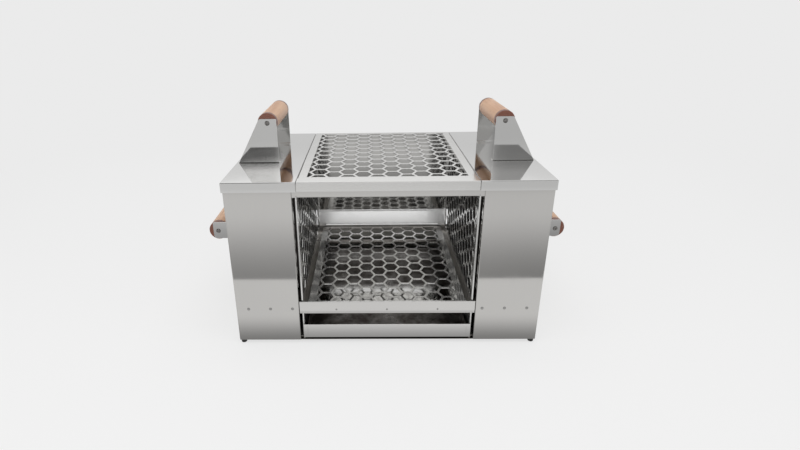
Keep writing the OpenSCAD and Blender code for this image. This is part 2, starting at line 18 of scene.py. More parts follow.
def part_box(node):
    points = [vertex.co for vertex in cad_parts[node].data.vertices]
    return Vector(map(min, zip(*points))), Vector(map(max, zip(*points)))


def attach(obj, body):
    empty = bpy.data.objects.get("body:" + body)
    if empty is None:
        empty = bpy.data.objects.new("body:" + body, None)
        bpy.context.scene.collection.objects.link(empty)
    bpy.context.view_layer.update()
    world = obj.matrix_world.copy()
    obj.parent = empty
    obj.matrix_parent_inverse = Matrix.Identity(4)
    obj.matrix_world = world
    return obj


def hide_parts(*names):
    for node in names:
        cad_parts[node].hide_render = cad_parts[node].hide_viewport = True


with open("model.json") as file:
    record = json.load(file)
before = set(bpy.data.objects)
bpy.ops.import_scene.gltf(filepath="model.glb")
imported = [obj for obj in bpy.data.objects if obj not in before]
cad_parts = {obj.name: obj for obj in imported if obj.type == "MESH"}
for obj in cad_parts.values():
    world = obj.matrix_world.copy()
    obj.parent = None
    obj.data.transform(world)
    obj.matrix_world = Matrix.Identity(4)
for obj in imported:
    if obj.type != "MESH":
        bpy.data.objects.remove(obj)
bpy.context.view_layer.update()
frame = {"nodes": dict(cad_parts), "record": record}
MM = 0.001
record = frame["record"]
body_of_node = {n: b for b, nodes in record["behaviour"]["bodies"].items() for n in nodes}
slot_of_node = {s["node"]: s["material_slot"] for s in record["subparts"]}


def placed(name, data):
    """A new object in the scene."""
    obj = bpy.data.objects.new(name, data)
    bpy.context.scene.collection.objects.link(obj)
    return obj


# %% [markdown]
# ## The camera
# The picture was taken from just left of the middle, a little under a metre
# in front of the roaster and looking down by 22.6 degrees. The lens is a
# short one, so the housings lean towards each other. A small sideways shift
# puts the roaster where the picture has it. The camera is made first, so
# that each later step can be looked at.

# %% Place the camera
eye = Vector((-31.0, -962.7, 561.3)) * MM
pitch, yaw, roll = (math.radians(a) for a in (22.58, -1.25, -0.91))
FOCAL_PX, IMAGE_W, IMAGE_H = 511.7, 800, 450
CENTRE_PX = (358.6, 224.7)

ahead = Vector((math.sin(yaw) * math.cos(pitch), math.cos(yaw) * math.cos(pitch), -math.sin(pitch)))
level = Vector((math.cos(yaw), -math.sin(yaw), 0))
upward = level.cross(ahead)
right = math.cos(roll) * level + math.sin(roll) * upward
above = math.cos(roll) * upward - math.sin(roll) * level

lens = bpy.data.cameras.new("camera")
lens.sensor_width = 36
lens.lens = FOCAL_PX / IMAGE_W * lens.sensor_width
lens.shift_x = (IMAGE_W / 2 - CENTRE_PX[0]) / IMAGE_W
lens.shift_y = (CENTRE_PX[1] - IMAGE_H / 2) / IMAGE_W
camera = placed("camera", lens)
camera.matrix_world = Matrix.Translation(eye) @ Matrix(
    [[right[i], above[i], -ahead[i]] for i in range(3)]).to_4x4()
bpy.context.scene.camera = camera
print("lens", round(lens.lens, 2), "mm, shift", round(lens.shift_x, 4))

# %% [markdown]
# ## Node trees as plain Python
# Finishes and repeated pieces are both node trees. Written node by node,
# they are long and hard to read. Here a small class wraps an output socket
# and overloads the operators, so that `0.2 + 0.1 * smears` adds the Math
# nodes by itself. The same class serves shader trees and Geometry Nodes,
# because Blender shares its Math nodes between them. Colours never go
# through a Math node: they have `blend`.

# %% A socket that can be added and multiplied
class Wire:
    def __init__(self, graph, socket):
        self.graph, self.socket = graph, socket

    def maths(self, operation, *others, first=None):
        values = [self if first is None else first, *others]
        return self.graph.add("ShaderNodeMath", {"operation": operation}, dict(enumerate(values)))

    def __add__(self, other):
        return self.maths("ADD", other)

    def __sub__(self, other):
        return self.maths("SUBTRACT", other)

    def __rsub__(self, other):
        return self.maths("SUBTRACT", self, first=other)

    def __mul__(self, other):
        return self.maths("MULTIPLY", other)

    def __truediv__(self, other):
        return self.maths("DIVIDE", other)

    def __abs__(self):
        return self.maths("ABSOLUTE")

    __radd__ = __add__
    __rmul__ = __mul__

    def rise(self, low, high):
        """0 below low, 1 above high, and a smooth step between them."""
        return self.graph.add("ShaderNodeMapRange", {"interpolation_type": "SMOOTHSTEP"},
                              {"Value": self, "From Min": low, "From Max": high})


class Graph:
    def __init__(self, tree):
        self.tree = tree

    def add(self, kind, settings={}, inputs={}, output=0):
        node = self.tree.nodes.new(kind)
        for key, value in settings.items():
            setattr(node, key, value)
        for key, value in inputs.items():
            self.put(node.inputs[key], value)
        return Wire(self, node.outputs[output])

    def put(self, socket, value):
        if isinstance(value, Wire):
            self.tree.links.new(value.socket, socket)
        elif isinstance(value, tuple) and len(value) == 3 and socket.type == "RGBA":
            socket.default_value = (*value, 1)
        else:
            socket.default_value = value

    def split(self, vector):
        node = self.add("ShaderNodeSeparateXYZ", inputs={0: vector}).socket.node
        return [Wire(self, node.outputs[i]) for i in range(3)]

    def ray_kinds(self):
        """Whether a ray comes straight from the camera, and whether it is a reflection."""
        node = self.add("ShaderNodeLightPath").socket.node
        return [Wire(self, node.outputs[n]) for n in ("Is Camera Ray", "Is Glossy Ray")]


print("wires ready")

# %% [markdown]
# ## What a finish is made of
# A finish is one Principled shader. What is the same all over goes straight
# onto its sockets. What changes over the surface comes from noise in Object
# coordinates: a drift of tint, smears from handling, a fine rolled grain.

# %% The shader side of the wires
class Finish(Graph):
    def __init__(self, name, **constant):
        self.material = bpy.data.materials.new(name)
        self.material.use_nodes = True
        super().__init__(self.material.node_tree)
        self.tree.nodes.clear()
        self.shader = self.tree.nodes.new("ShaderNodeBsdfPrincipled")
        output = self.tree.nodes.new("ShaderNodeOutputMaterial")
        self.tree.links.new(self.shader.outputs[0], output.inputs[0])
        self.place = self.add("ShaderNodeTexCoord", output="Object")
        for socket, value in constant.items():
            self.set(socket.replace("_", " ").title().replace("Ior", "IOR"), value)

    def set(self, name, value):
        self.put(self.shader.inputs[name], value)

    def axes(self):
        return self.split(self.place)

    def stretched(self, x, y, z):
        """Object coordinates times a factor for each axis."""
        return self.add("ShaderNodeVectorMath", {"operation": "MULTIPLY"},
                        {0: self.place, 1: (x, y, z)})

    def noise(self, scale, detail=2.0, roughness=0.5, where=None):
        return self.add("ShaderNodeTexNoise", {"noise_dimensions": "3D"},
                        {"Vector": where or self.place, "Scale": scale,
                         "Detail": detail, "Roughness": roughness})

    def blend(self, factor, first, second):
        return self.add("ShaderNodeMix", {"data_type": "RGBA", "clamp_factor": True},
                        {0: factor, 6: first, 7: second}, output=2)

    def bump(self, height, depth, under=None):
        inputs = {"Height": height, "Distance": depth, "Strength": 1.0}
        if under:
            inputs["Normal"] = under
        return self.add("ShaderNodeBump", {}, inputs)


finish = {}
print("finish helpers ready")

# %% [markdown]
# ## Stainless sheet in many states
# Nearly all of the roaster is the same steel. What differs is mostly its
# polish: the housings are satin, the lids and handle plates close to a
# mirror, and the punched sheets a little duller. The rear wall and the
# reflector are darker, as painted shade, and the rear bar is nearly white,
# as painted light. So one function makes them all. The grain runs along the
# rolling direction and is a few thousandths of a millimetre deep; the sheets
# also ripple a little, as thin sheet does.

# %% Steel finishes
GRAIN_DEPTH, RIPPLE_DEPTH = 0.000004, 0.00008


def steel(name, colour, gloss, brush, smear=0.05, metallic=1.0):
    f = Finish(name, metallic=metallic)
    drift = f.noise(5.0, 3.0)
    marks = f.noise(17.0, 5.0, 0.62).rise(0.50, 0.72)
    grain = f.noise(1.0, 3.0, 0.6, f.stretched(*brush))
    dark = tuple(0.93 * c for c in colour)
    light = tuple(min(1.04 * c, 1.0) for c in colour)
    f.set("Base Color", f.blend(drift * 0.6 + grain * 0.4, dark, light))
    f.set("Roughness", gloss + smear * marks + 0.04 * grain)
    waves = f.bump(f.noise(7.0, 1.0), RIPPLE_DEPTH)
    f.set("Normal", f.bump(grain, GRAIN_DEPTH, waves))
    finish[name] = f.material
    return f


steel("housing_sheet", (0.60, 0.59, 0.573), 0.045, (900, 900, 14), smear=0.03)
steel("polished_sheet", (0.70, 0.697, 0.688), 0.035, (700, 30, 700), smear=0.03)
steel("bright_sheet", (0.67, 0.66, 0.645), 0.09, (20, 800, 800))
steel("mesh_sheet", (0.70, 0.695, 0.68), 0.09, (30, 700, 700), metallic=0.88)
# The rear wall is darker than the other bay steel: painted shade at the back of the bay.
steel("rear_wall_sheet", (0.50, 0.495, 0.48), 0.05, (30, 700, 700))
# The rear bar is nearly white: painted light on the bar, added to the real reflection of its steel.
steel("rear_bar_sheet", (0.98, 0.975, 0.965), 0.16, (30, 700, 700), metallic=0.7)
# The reflector is much darker than bright rolled sheet: painted shade inside the housing.
steel("reflector_sheet", (0.40, 0.385, 0.365), 0.30, (700, 20, 700))
steel("rivet_steel", (0.42, 0.415, 0.405), 0.22, (300, 300, 300))
steel("screw_steel", (0.30, 0.29, 0.28), 0.32, (300, 300, 300))
steel("pin_metal", (0.66, 0.64, 0.58), 0.2, (200, 800, 200))
steel("heater_sheath", (0.12, 0.11, 0.105), 0.62, (500, 14, 500), smear=0.2)
print("clean steels:", len(finish))

# %% [markdown]
# ## Steel painted with the light and shade of the bay
# Inside the bay, colour stands in for light and shade. The parts in the
# housings and under the rack are dark: painted shade. The bay side of the
# rear panel is lighter: painted light. The far end of the rack is darker:
# painted shade. The tray is dark at the back and in front, as painted shade,
# with a nearly white strip between them as painted light; its front that
# faces the user keeps its own colour. The places along Y where one state
# turns into the next are in metres.

# %% Steel painted with light and shade
PANEL_INSIDE = (0.1754, 0.1758)
REAR_SHADE_START = (0.125, 0.150)
APRON_BEHIND = (-0.1745, -0.1725)
BACK_SHADE, BACK_SHADE_THINS, FRONT_SHADE = (-0.012, 0.022), (0.125, 0.14), (-0.098, -0.070)


def bay_light_or_shade(name, light_or_shade_colour, rest_colour, start, end):
    """Sheet painted a straw-grey colour for light or shade, in blotches, before a place along Y, and a
    second colour past it.
    """
    f = steel(name, rest_colour, 0.12, (30, 700, 700))
    y = f.axes()[1]
    spots = f.noise(9.0, 4.0, 0.6)
    dark = f.blend(spots.rise(0.35, 0.7), light_or_shade_colour, tuple(0.6 * c for c in light_or_shade_colour))
    f.set("Base Color", f.blend(y.rise(start, end), dark, rest_colour))
    f.set("Roughness", 0.34 - 0.2 * y.rise(start, end) + 0.1 * spots)


# The bay side of the rear panel is lighter than its outside: painted light, which the tray below mirrors.
bay_light_or_shade("rear_panel_sheet", (0.72, 0.70, 0.67), (0.60, 0.59, 0.573), *PANEL_INSIDE)
# The chamber steel is dark all over, darkest towards the front: painted shade for the parts in the housings
# and under the rack.
bay_light_or_shade("chamber_sheet", (0.24, 0.225, 0.205), (0.30, 0.285, 0.265), 0.0, 0.2)

f = steel("rack_sheet", (0.74, 0.735, 0.72), 0.09, (30, 700, 700), metallic=0.88)
# The rack darkens and dulls towards its far end: painted shade at the back of the bay.
rear_shade = f.axes()[1].rise(*REAR_SHADE_START)
f.set("Base Color", f.blend(rear_shade * 0.9, (0.74, 0.735, 0.72), (0.22, 0.20, 0.18)))
f.set("Roughness", 0.09 + 0.25 * rear_shade + 0.05 * f.noise(17.0, 5.0, 0.62).rise(0.50, 0.72))

f = steel("tray_sheet", (0.74, 0.73, 0.715), 0.14, (20, 800, 800))
y = f.axes()[1]
run = y + 0.016 * (f.noise(14.0, 4.0, 0.6) - 0.5)
inside = y.rise(*APRON_BEHIND)
# The pan is dark at its back and at its front, patchy, and less dark on its rear wall: painted shade.
back = run.rise(*BACK_SHADE) * (1 - 0.3 * run.rise(*BACK_SHADE_THINS))
front = (1 - run.rise(*FRONT_SHADE)) * inside
tray_shade = (back + front) * (1 - 0.25 * f.noise(30.0, 5.0, 0.65).rise(0.35, 0.7))
# The apron keeps its own colour; the strip of pan between the dark parts is nearly white: painted light, on
# top of its real reflection.
rest_colour = f.blend(inside, (0.78, 0.77, 0.755), (0.96, 0.955, 0.94))
f.set("Base Color", f.blend(tray_shade, rest_colour, (0.075, 0.062, 0.055)))
f.set("Roughness", 0.12 - 0.06 * inside + 0.28 * tray_shade)
print("all steels:", len(finish))

# %% Plastics, rubber and ceramic
def moulded(name, dark, light, rough, depth, cell, **constant):
    f = Finish(name, **constant)
    dust = f.noise(40.0, 4.0, 0.6)
    grit = f.noise(cell, 2.0)
    f.set("Base Color", f.blend(dust, dark, light))
    f.set("Roughness", rough + 0.12 * dust)
    f.set("Normal", f.bump(grit, depth))
    finish[name] = f.material


moulded("foot_rubber", (0.018, 0.018, 0.018), (0.04, 0.039, 0.038), 0.62, 0.00008, 900.0)
moulded("black_plastic", (0.018, 0.018, 0.019), (0.034, 0.034, 0.036), 0.38, 0.00004, 1400.0)
moulded("red_plastic", (0.46, 0.016, 0.014), (0.56, 0.03, 0.024), 0.16, 0.00001, 500.0,
        coat_weight=0.4, coat_roughness=0.08)
moulded("white_ceramic", (0.74, 0.71, 0.65), (0.86, 0.84, 0.79), 0.55, 0.00005, 1100.0)
print("finishes:", len(finish))

# %% [markdown]
# ## Wood for the grips
# The grips are turned from a pale reddish wood. Their ends were stained
# dark brown before assembly, and the stain fades out along the grain. The
# grain runs along the grip, so the noise is stretched along Y.

# %% Wood finishes, one for each length of grip
def grip_wood(name, centre, half, ring):
    f = Finish(name, coat_weight=0.25, coat_roughness=0.22)
    y = f.axes()[1]
    fibre = f.noise(1.0, 4.0, 0.62, f.stretched(260, 9, 260))
    figure = f.noise(1.0, 2.0, 0.5, f.stretched(55, 5, 55))
    pores = f.noise(1.0, 2.0, 0.7, f.stretched(900, 60, 900)).rise(0.62, 0.72)
    wood = f.blend(figure.rise(0.35, 0.68), (0.86, 0.56, 0.36), (0.66, 0.38, 0.225))
    wood = f.blend(fibre * 0.55, wood, (0.40, 0.19, 0.095))
    wood = f.blend(pores * 0.5, wood, (0.22, 0.09, 0.045))
    reach = abs(y - centre) + (fibre - 0.5) * 0.004
    stain = reach.rise(half - ring, half - ring + 0.003)
    f.set("Base Color", f.blend(stain * 0.93, wood, (0.12, 0.032, 0.02)))
    f.set("Roughness", 0.42 + 0.2 * fibre - 0.1 * stain)
    f.set("Normal", f.bump(fibre - pores, 0.00012))
    finish[name] = f.material


print("wood helper ready")

# %% [markdown]
# ## Turning nodes and meshes into pieces
# Each piece ends as a plain mesh at the origin, like a node of the measured
# model. `piece` gives it a finish, hides the nodes that it stands for, and
# lets it ride on their body.

# %% Finished pieces
SHARP_ANGLE = math.radians(34)


def piece(obj, *nodes, metal=None):
    if not obj.data.materials:
        obj.data.materials.append(finish[metal or slot_of_node[nodes[0]]])
    obj.data.shade_smooth()
    obj.data.set_sharp_from_angle(angle=SHARP_ANGLE)
    even = obj.modifiers.new("even", "WEIGHTED_NORMAL")
    even.weight, even.keep_sharp = 100, True
    obj = plain(obj)
    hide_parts(*nodes)
    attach(obj, body_of_node[nodes[0]])
    return obj


def plain(obj, name=None):
    """The evaluated mesh of an object with modifiers, as a new object."""
    graph = bpy.context.evaluated_depsgraph_get()
    mesh = bpy.data.meshes.new_from_object(obj.evaluated_get(graph), depsgraph=graph)
    name = name or obj.name
    bpy.data.objects.remove(obj)
    result = placed(name, mesh)
    result.name = mesh.name = name
    return result


def from_bmesh(name, bm):
    mesh = bpy.data.meshes.new(name)
    bm.to_mesh(mesh)
    bm.free()
    return placed(name, mesh)


print("piece helpers ready")

# %% [markdown]
# ## Folded sheet
# A folded part is drawn as its outer faces, each a flat polygon with its
# corners in millimetres. Edges that two faces share are the folds. They are
# rounded, the sheet then gets its thickness inwards, and its cut edges are
# broken by a tiny bevel, which is what catches the light.

# %% A folded part from its outer faces
def soft_edges(obj, width):
    soft = obj.modifiers.new("edge", "BEVEL")
    soft.width, soft.segments = width * MM, 2
    soft.limit_method, soft.angle_limit = "ANGLE", math.radians(50)


def folded(name, faces, thick=1.2, fold=1.8, edge=0.25, inside=None):
    bm = bmesh.new()
    for corners in faces:
        bm.faces.new([bm.verts.new(Vector(c) * MM) for c in corners])
    bmesh.ops.remove_doubles(bm, verts=bm.verts, dist=1e-6)
    bmesh.ops.recalc_face_normals(bm, faces=bm.faces)
    middle = Vector(inside) * MM if inside else sum(
        (v.co for v in bm.verts), Vector()) / len(bm.verts)
    first = max(bm.faces, key=lambda f: f.calc_area())
    if first.normal.dot(first.calc_center_median() - middle) < 0:
        bmesh.ops.reverse_faces(bm, faces=bm.faces)
    folds = [e for e in bm.edges if len(e.link_faces) == 2]
    if folds:
        bmesh.ops.bevel(bm, geom=folds, offset=fold * MM, offset_type="OFFSET", segments=5,
                        profile=0.5, affect="EDGES", clamp_overlap=True)
    obj = from_bmesh(name, bm)
    shell = obj.modifiers.new("thickness", "SOLIDIFY")
    shell.thickness, shell.offset, shell.use_even_offset = thick * MM, -1, True
    if edge:
        soft_edges(obj, edge)
    return plain(obj)


def mm_box(node):
    low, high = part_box(node)
    return tuple(low / MM), tuple(high / MM)


def bay_box(node):
    """A node's box as its X next to the bay, its X away from it, and (Y, Z) low and high."""
    low, high = mm_box(node)
    inner, outer = sorted((low[0], high[0]), key=abs)
    return inner, outer, low[1:], high[1:]


def on(axis, at, outline):
    """Puts a flat outline at one place on an axis."""
    return [tuple(list(p[:axis]) + [at] + list(p[axis:])) for p in outline]


def wall(axis, at, a, b):
    """A flat rectangle at one place on an axis; a and b are its opposite corners."""
    return on(axis, at, [(a[0], a[1]), (b[0], a[1]), (b[0], b[1]), (a[0], b[1])])


def joined(name, *objects):
    bm = bmesh.new()
    for o in objects:
        bm.from_mesh(o.data)
        bpy.data.objects.remove(o)
    return from_bmesh(name, bm)


print("sheet helpers ready")

# %% [markdown]
# ## The housings
# Each housing is one sheet: front, outer side and rear, with a narrow edge
# turned back at the bay. The measured box of the node gives all sizes. The
# right one has two openings in its rear, behind the rims of the inlet and
# the switch.

# %% Housing shells
TURN, T = 10.0, 1.2


def housing(side):
    inner, outer, (y0, z0), (y1, z1) = bay_box(side + "_shell")
    return folded(side + "_shell_sheet", [
        wall(0, inner, (y0, z0), (y0 + TURN, z1)), wall(1, y0, (inner, z0), (outer, z1)),
        wall(0, outer, (y0, z0), (y1, z1)), wall(1, y1, (inner, z0), (outer, z1)),
        wall(0, inner, (y1 - TURN, z0), (y1, z1))])


def cut(obj, *boxes):
    """Takes boxes out of a piece with an exact boolean."""
    bm = bmesh.new()
    for a, b in boxes:
        size = [(q - p) * MM for p, q in zip(a, b)]
        centre = Vector([(p + q) / 2 * MM for p, q in zip(a, b)])
        bmesh.ops.create_cube(bm, size=1, matrix=Matrix.Translation(centre) @ Matrix.Diagonal((*size, 1)))
    tool = from_bmesh("tool", bm)
    take = obj.modifiers.new("cut", "BOOLEAN")
    take.operation, take.object, take.solver = "DIFFERENCE", tool, "EXACT"
    result = plain(obj)
    bpy.data.objects.remove(tool)
    return result


shells = {side: housing(side) for side in ("left", "right")}
rear = mm_box("right_shell")[1][1]
openings = []
for node, side, rise in (("power_inlet", 6.5, 3.0), ("switch_body", 2.0, 2.0)):
    low, high = mm_box(node)
    openings.append(((low[0] + side, rear - 3, low[2] + rise), (high[0] - side, rear + 2, high[2] - rise)))
shells["right"] = cut(shells["right"], *openings)
for side, shell in shells.items():
    shell.name = shell.data.name = side + "_housing"
    shells[side] = piece(shell, side + "_shell")
print("housings:", [len(s.data.polygons) for s in shells.values()])

# %% [markdown]
# ## The lids and their handle plates
# A lid is a flat sheet with a lip on three sides. On it stand two tapered
# plates. Each is one sheet that is folded once, so that its foot lies flat
# on the lid, under the grip.

# %% Lids
for side in ("left", "right"):
    inner, outer, (y0, z0), (y1, z1) = bay_box(side + "_lid")
    lid = folded(side + "_lid_sheet", [
        wall(2, z1, (inner, y0), (outer, y1)), wall(1, y0, (inner, z0), (outer, z1)),
        wall(1, y1, (inner, z0), (outer, z1)), wall(0, outer, (y0, z0), (y1, z1))],
        inside=((inner + outer) / 2, 0, z0 - 200), fold=1.6)
    piece(lid, side + "_lid")
print("lids ready")

# %% Handle plates and side brackets
PLATE_T, PLATE_TOP, ARC_STEPS = 1.5, 31.0, 5


def rounded(points, radii):
    """A polygon whose corners are replaced by arcs."""
    result = []
    for i, (p, r) in enumerate(zip(points, radii)):
        p = Vector(p)
        a = (Vector(points[i - 1]) - p).normalized()
        b = (Vector(points[(i + 1) % len(points)]) - p).normalized()
        if r == 0:
            result.append(tuple(p))
            continue
        half = a.angle(b) / 2
        reach, centre = r / math.tan(half), p + (a + b).normalized() * r / math.sin(half)
        start, end = p + a * reach - centre, p + b * reach - centre
        for k in range(ARC_STEPS + 1):
            t = k / ARC_STEPS
            way = start.lerp(end, t).normalized() if start.angle(end) > 1e-4 else start.normalized()
            result.append(tuple(centre + way * r))
    return result


def bracket(name, node, front, outline, foot):
    """A plate in the plane of Y with its foot folded over at the first two corners."""
    low, high = mm_box(node)
    face = low[1] if front else high[1]
    back = high[1] if front else low[1]
    plate = [(x, face, z) for x, z in outline]
    base = [plate[0], plate[1], (foot[1][0], back, foot[1][1]), (foot[0][0], back, foot[0][1])]
    away = Vector(plate[2]) - Vector(plate[1])
    inside = Vector(plate[0]) + Vector((0, (back - face) * 5, 0))
    obj = folded(name, [plate, base], thick=PLATE_T, fold=2.0, edge=0.3,
                 inside=tuple(inside + away * 0.5))
    return piece(obj, node)


for side, s in (("left", -1), ("right", 1)):
    for end in ("front", "rear"):
        node = f"{side}_handle_{end}"
        inner, outer, (y0, z0), (y1, z1) = bay_box(node)
        corners = rounded([(inner, z0), (outer, z0), (inner + s * PLATE_TOP, z1), (inner, z1)],
                          (0, 0, 5, 3))
        bracket(f"{side}_{end}_handle_plate", node, end == "front", corners, [(inner, z0), (outer, z0)])
        node = f"{side}_side_bracket_{end}"
        inner, outer, (y0, z0), (y1, z1) = bay_box(node)
        corners = rounded([(inner, z1), (inner, z0), (outer, z0), (outer, z1)], (0, 0, 6, 4))
        bracket(f"{side}_{end}_side_bracket", node, end == "front", corners, [(inner, z1), (inner, z0)])
print("plates and brackets ready")

# %% [markdown]
# ## Wooden grips
# A grip is a turned cylinder with a soft rounding at each end. It is a
# lathe shape: an outline that is spun about the Y axis.

# %% Turned grips
TURN_STEPS, GRIP_EDGE, STAIN_RING = 48, 2.6, 0.012


def turned(name, centre, outline):
    """Spins (radius, y) points about an axis along Y, closed on the axis."""
    bm = bmesh.new()
    rings = []
    for r, y in outline:
        if r == 0:
            rings.append([bm.verts.new((centre[0] * MM, y * MM, centre[1] * MM))])
        else:
            rings.append([bm.verts.new(((centre[0] + r * math.cos(a)) * MM, y * MM,
                                        (centre[1] + r * math.sin(a)) * MM))
                          for a in (math.tau * k / TURN_STEPS for k in range(TURN_STEPS))])
    for one, two in zip(rings, rings[1:]):
        for k in range(TURN_STEPS):
            n = (k + 1) % TURN_STEPS
            loop = [one[k % len(one)], one[n % len(one)], two[n % len(two)], two[k % len(two)]]
            bm.faces.new(list(dict.fromkeys(loop)))
    bmesh.ops.recalc_face_normals(bm, faces=bm.faces)
    return from_bmesh(name, bm)


def grip(node, name):
    low, high = mm_box(node)
    r, y0, y1 = (high[2] - low[2]) / 2, low[1], high[1]
    centre = ((low[0] + high[0]) / 2, (low[2] + high[2]) / 2)
    half = (y1 - y0) / 2
    wood = "grip_wood" if "side" in node else "lid_grip_wood"
    if wood not in finish:
        grip_wood(wood, (y0 + y1) / 2 * MM, half * MM, STAIN_RING)
    end = [(r - GRIP_EDGE + GRIP_EDGE * math.sin(a), GRIP_EDGE - GRIP_EDGE * math.cos(a))
           for a in (math.pi / 2 * k / 6 for k in range(7))]
    body = [(r, y0 + (y1 - y0) * k / 12) for k in range(1, 12)]
    outline = ([(0, y0)] + [(a, y0 + b) for a, b in end] + body
               + [(a, y1 - b) for a, b in reversed(end)] + [(0, y1)])
    return piece(turned(name, centre, outline), node, metal=wood)


for side in ("left", "right"):
    grip(side + "_grip", side + "_lid_handgrip")
    grip(side + "_side_grip", side + "_side_handgrip")
print("grips ready")

# %% [markdown]
# ## Geometry Nodes recipes
# Hexagons, rivets, screws and tubes repeat or follow a path, so node trees
# make them. A recipe has named inputs, and ends by making its instances
# real and giving them their metal. Running it turns the result into a plain
# mesh, so that no modifier is left on the piece.

# %% A recipe with named inputs
class Recipe(Graph):
    def __init__(self, name, **inputs):
        super().__init__(bpy.data.node_groups.new(name, "GeometryNodeTree"))
        face = self.tree.interface
        face.new_socket("Geometry", in_out="INPUT", socket_type="NodeSocketGeometry")
        for label, value in inputs.items():
            kind = {float: "Float", tuple: "Vector", type(None): "Object"}[type(value)]
            socket = face.new_socket(label.replace("_", " ").title(), in_out="INPUT",
                                     socket_type="NodeSocket" + kind)
            if value is not None:
                socket.default_value = value
        face.new_socket("Metal", in_out="INPUT", socket_type="NodeSocketMaterial")
        face.new_socket("Geometry", in_out="OUTPUT", socket_type="NodeSocketGeometry")
        self.given = self.tree.nodes.new("NodeGroupInput")

    def input(self, label):
        return Wire(self, self.given.outputs[label])

    def vector(self, x=0.0, y=0.0, z=0.0):
        return self.add("ShaderNodeCombineXYZ", inputs={0: x, 1: y, 2: z})

    def moved(self, geometry, **inputs):
        return self.add("GeometryNodeTransform", inputs={"Geometry": geometry, **inputs})

    def solid(self, geometry, *tools, operation="DIFFERENCE"):
        node = self.add("GeometryNodeMeshBoolean", {"operation": operation, "solver": "EXACT"}).socket.node
        if geometry:
            self.put(node.inputs["Mesh 1"], geometry)
        for tool in tools:
            self.put(node.inputs["Mesh 2"], tool)
        return Wire(self, node.outputs[0])

    def together(self, *parts):
        node = self.add("GeometryNodeJoinGeometry").socket.node
        for part in parts:
            self.put(node.inputs[0], part)
        return Wire(self, node.outputs[0])

    def done(self, geometry):
        real = self.add("GeometryNodeRealizeInstances", inputs={0: geometry})
        dressed = self.add("GeometryNodeSetMaterial",
                           inputs={"Geometry": real, "Material": self.input("Metal")})
        self.put(self.tree.nodes.new("NodeGroupOutput").inputs["Geometry"], dressed)

    def run(self, obj, metal, **values):
        modifier = obj.modifiers.new(self.tree.name, "NODES")
        modifier.node_group = self.tree
        keys = {s.name: s.identifier for s in self.tree.interface.items_tree if s.in_out == "INPUT"}
        modifier[keys["Metal"]] = finish[metal]
        for label, value in values.items():
            modifier[keys[label.replace("_", " ").title()]] = value
        return plain(obj)


print("recipes can be written")

# %% [markdown]
# ## Punched hexagons
# The grille, the rack and both bay walls are one idea: columns of hexagons
# with every second column half a step higher, cut off along a plain border.
# The tree works on a flat sheet. It scatters points on a grid, drops those
# outside the window, puts a hexagonal prism on each, keeps what lies in the
# window, and takes that out of the sheet.

# %% The punching recipe
punch = Recipe("punched_hexagons", window_low=(0.0, 0.0, 0.0), window_high=(0.1, 0.1, 0.002),
               first_hexagon=(0.0, 0.0, 0.0), column_step=0.024, row_step=0.03, web=0.004)
col, row, web = (punch.input(n) for n in ("Column Step", "Row Step", "Web"))
low, high, first = (punch.split(punch.input(n)) for n in ("Window Low", "Window High", "First Hexagon"))
size = [b - a for a, b in zip(low, high)]
half_columns = (size[0] / col).maths("CEIL")
half_rows = (size[1] / row).maths("CEIL") + 1.0
grid = punch.add("GeometryNodeMeshGrid", inputs={
    "Size X": 2.0 * half_columns * col, "Size Y": 2.0 * half_rows * row,
    "Vertices X": 2.0 * half_columns + 1.0, "Vertices Y": 2.0 * half_rows + 1.0})
spot = punch.split(punch.add("GeometryNodeInputPosition"))
odd = abs((spot[0] / col).maths("ROUND")).maths("MODULO", 2.0)
field = punch.add("GeometryNodeSetPosition", inputs={
    "Geometry": grid, "Offset": punch.vector(first[0], first[1] + odd * row * 0.5, 0.0)})
past_it = ((low[0] - spot[0], col * 0.7), (spot[0] - high[0], col * 0.7),
           (low[1] - spot[1], row * 0.5), (spot[1] - high[1], row * 0.5))
outside = [gap.maths("GREATER_THAN", limit) for gap, limit in past_it]
field = punch.add("GeometryNodeDeleteGeometry", {"domain": "POINT", "mode": "ALL"}, {
    "Geometry": field, "Selection": outside[0] + outside[1] + outside[2] + outside[3]})
prism = punch.add("GeometryNodeMeshCylinder", {"fill_type": "NGON"}, {
    "Vertices": 6, "Side Segments": 1, "Radius": 1.0, "Depth": 1.0})
prism = punch.moved(prism, Scale=punch.vector(
    (2.0 * col - web * math.sqrt(3)) / 3.0, (row - web) * 0.5 / math.sin(math.pi / 3), size[2] * 2.0))
field = punch.add("GeometryNodeInstanceOnPoints", inputs={"Points": field, "Instance": prism})
field = punch.moved(field, Translation=punch.vector(0.0, 0.0, (low[2] + high[2]) * 0.5))
window = punch.add("GeometryNodeMeshCube", inputs={"Size": punch.vector(*size)})
window = punch.moved(window, Translation=punch.vector(*[(a + b) * 0.5 for a, b in zip(low, high)]))
holes = punch.solid(None, punch.add("GeometryNodeRealizeInstances", inputs={0: field}), window,
                    operation="INTERSECT")
punch.done(punch.solid(punch.input("Geometry"), holes))

WEB = 4.2


def punched(sheet, metal, low, high, first, columns, rows):
    """Punches the field between two corners; first is one hexagon's centre in X and Y."""
    low, high, first = (tuple(c * MM for c in point) for point in (low, high, (*first, 0.0)))
    return punch.run(sheet, metal, window_low=low, window_high=high, first_hexagon=first,
                     column_step=columns * MM, row_step=rows * MM, web=WEB * MM)


print("punching recipe:", len(punch.tree.nodes), "nodes")

# %% Notched outlines and broken edges
NOTCH, RELIEF = 1.0, 3.0


